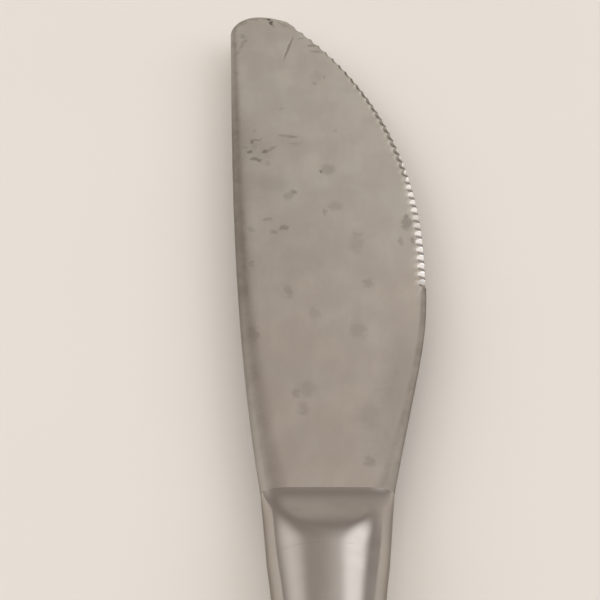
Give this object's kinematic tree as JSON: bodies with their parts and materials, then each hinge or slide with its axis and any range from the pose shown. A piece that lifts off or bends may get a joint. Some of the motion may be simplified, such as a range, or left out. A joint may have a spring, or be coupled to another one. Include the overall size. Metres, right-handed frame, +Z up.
{
  "type": "table knife",
  "caption": "Table knife with a serrated, round-tipped satin blade, an S-shaped bolster and a polished hollow handle filled with cement.",
  "frame": {"origin": "on the surface that the knife lies on, under the middle of the lower flat of the handle", "axes": "+Y along the knife towards the tip of the blade, +X towards the cutting edge, +Z up from the surface that the knife lies on"},
  "size_m": [0.0249, 0.2068, 0.0086],
  "materials": {
    "satin_steel": "satin",
    "polished_steel": "polished",
    "solder": "satin",
    "cement": "matte"
  },
  "bodies": {
    "root": {"blade": "satin_steel", "bolster": "polished_steel", "handle_shell_upper": "polished_steel", "handle_shell_lower": "polished_steel", "seam_braze": "solder", "mouth_braze": "solder", "tang_braze": "solder", "handle_filling": "cement"}
  },
  "joints": []
}
